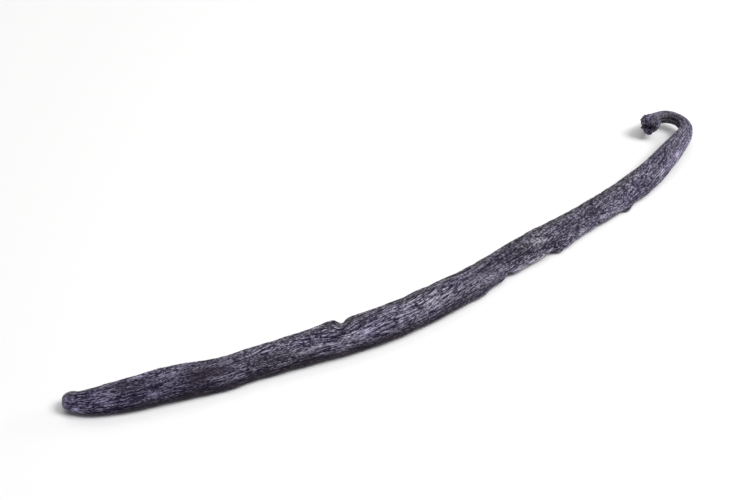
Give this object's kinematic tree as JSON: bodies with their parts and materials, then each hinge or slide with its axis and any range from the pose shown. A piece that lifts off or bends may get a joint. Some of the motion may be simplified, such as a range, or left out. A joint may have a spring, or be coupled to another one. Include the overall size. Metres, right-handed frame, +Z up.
{
  "type": "vanilla pod",
  "caption": "Long, slightly flattened cured seed pod lying on its belly, with a blunt end, a pinched fold across its back and a hooked stem that ends in a swollen foot.",
  "frame": {"origin": "middle of the underside of the pod's box, in the plane of the table it lies on", "axes": "+X runs from the blunt blossom end towards the hooked stem end, +Y towards the side that the stem's hook curls back over, +Z up from the belly to the back"},
  "size_m": [0.1628, 0.0277, 0.0059],
  "materials": {
    "skin": "oily, finely wrinkled purplish black-brown skin with a paler greyish sheen on its ridges"
  },
  "bodies": {
    "root": {"pod": "skin"}
  },
  "joints": []
}
